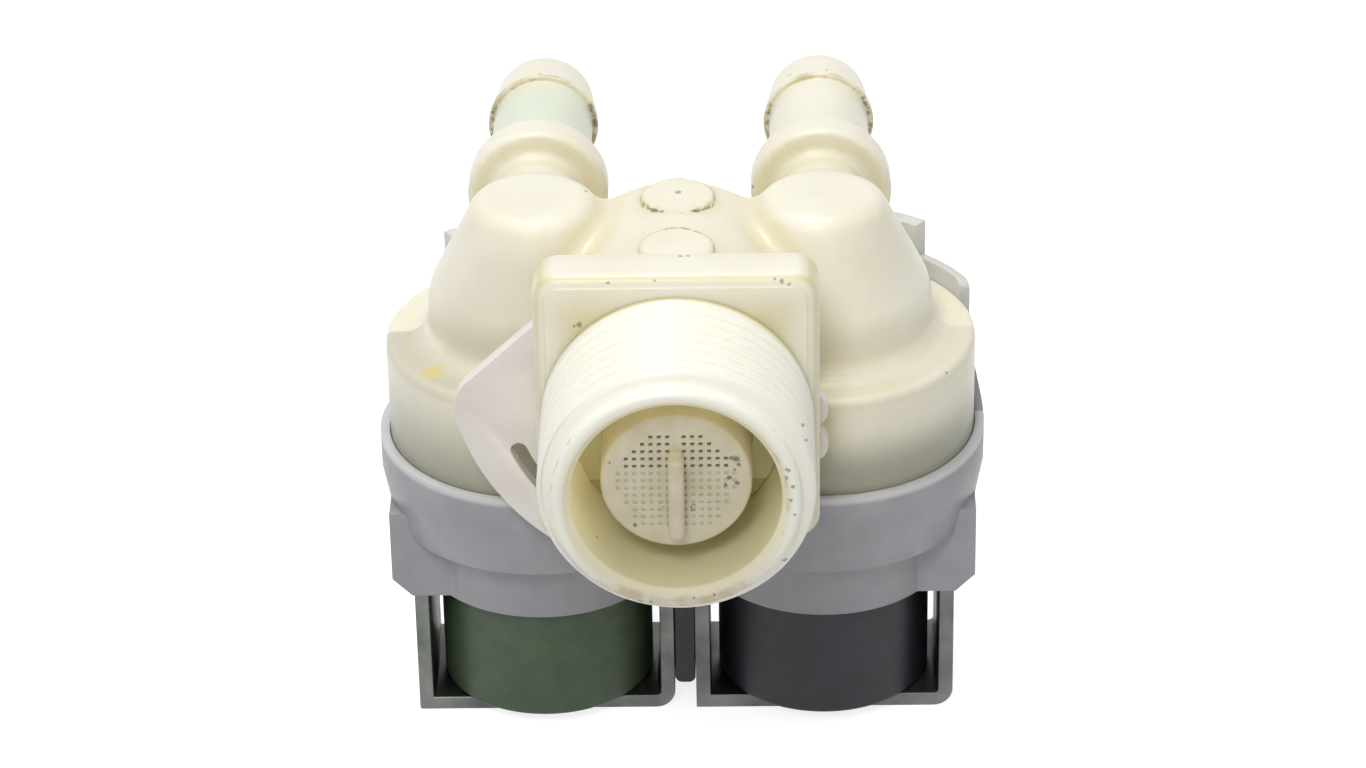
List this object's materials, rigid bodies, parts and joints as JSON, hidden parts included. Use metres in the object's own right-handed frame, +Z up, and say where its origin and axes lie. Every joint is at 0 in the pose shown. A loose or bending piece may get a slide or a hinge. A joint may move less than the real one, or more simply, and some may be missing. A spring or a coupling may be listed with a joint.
{
  "type": "washing machine inlet valve",
  "caption": "Twin solenoid water inlet valve: threaded inlet with strainer, square flange, side-by-side chambers with hose barbs to the rear, and coils in steel yokes below.",
  "frame": {"origin": "on the inlet's axis, at the front face of the flange", "axes": "+X to the right seen from the inlet, +Y from the inlet towards the hose barbs, +Z up from the coils to the towers"},
  "size_m": [0.062, 0.0732, 0.0604],
  "materials": {
    "cream_nylon": "moulded cream nylon, slightly translucent, yellowed and dirty with use",
    "strainer_nylon": "moulded natural nylon",
    "white_nylon": "moulded white nylon",
    "grey_nylon": "moulded mid grey nylon",
    "green_insert": "moulded green plastic",
    "green_overmould": "dark green overmoulded coil",
    "dark_overmould": "blue-black overmoulded coil",
    "guide_nylon": "moulded glass-filled nylon",
    "dark_rubber": "moulded black rubber",
    "zinc_plated_steel": "zinc-plated sheet steel",
    "plunger_steel": "turned ferritic stainless steel",
    "spring_steel": "drawn stainless wire",
    "tinned_blade": "tin-plated brass blade",
    "enamelled_copper": "enamelled copper wire, wound"
  },
  "bodies": {
    "valve": {"valve_body": "cream_nylon", "inlet_strainer": "strainer_nylon", "flow_regulator_cup": "strainer_nylon", "flow_regulator_ring": "dark_rubber", "outlet_restrictor": "green_insert", "lock_plate": "white_nylon", "clamp_collar": "grey_nylon", "coil_spacer": "dark_overmould", "diaphragm_left": "dark_rubber", "armature_guide_left": "guide_nylon", "plunger_spring_left": "spring_steel", "yoke_left": "zinc_plated_steel", "pole_sleeves_left": "zinc_plated_steel", "coil_jacket_left": "green_overmould", "terminals_left": "tinned_blade", "coil_bobbin_left": "guide_nylon", "coil_winding_left": "enamelled_copper", "diaphragm_right": "dark_rubber", "armature_guide_right": "guide_nylon", "plunger_spring_right": "spring_steel", "yoke_right": "zinc_plated_steel", "pole_sleeves_right": "zinc_plated_steel", "coil_jacket_right": "dark_overmould", "terminals_right": "tinned_blade", "coil_bobbin_right": "guide_nylon", "coil_winding_right": "enamelled_copper"},
    "plunger_left": {"plunger_left": "plunger_steel", "plunger_tip_left": "dark_rubber"},
    "diaphragm_insert_left": {"diaphragm_insert_left": "strainer_nylon"},
    "plunger_right": {"plunger_right": "plunger_steel", "plunger_tip_right": "dark_rubber"},
    "diaphragm_insert_right": {"diaphragm_insert_right": "strainer_nylon"}
  },
  "joints": [
    {"name": "plunger_slide_left", "type": "slide", "parent": "valve", "child": "plunger_left", "axis": [0, 0, -1], "range_m": [0, 0.0025], "stiffness_N_per_m": 150, "springref_m": -0.008, "deforming": ["plunger_spring_left"]},
    {"name": "diaphragm_lift_left", "type": "slide", "parent": "valve", "child": "diaphragm_insert_left", "axis": [0, 0, -1], "range_m": [0, 0.0018], "deforming": ["diaphragm_left"]},
    {"name": "plunger_slide_right", "type": "slide", "parent": "valve", "child": "plunger_right", "axis": [0, 0, -1], "range_m": [0, 0.0025], "stiffness_N_per_m": 150, "springref_m": -0.008, "deforming": ["plunger_spring_right"]},
    {"name": "diaphragm_lift_right", "type": "slide", "parent": "valve", "child": "diaphragm_insert_right", "axis": [0, 0, -1], "range_m": [0, 0.0018], "deforming": ["diaphragm_right"]}
  ],
  "couplings": [
    {"joint": "diaphragm_lift_left", "follows": "plunger_slide_left", "ratio": 0.72},
    {"joint": "diaphragm_lift_right", "follows": "plunger_slide_right", "ratio": 0.72}
  ]
}
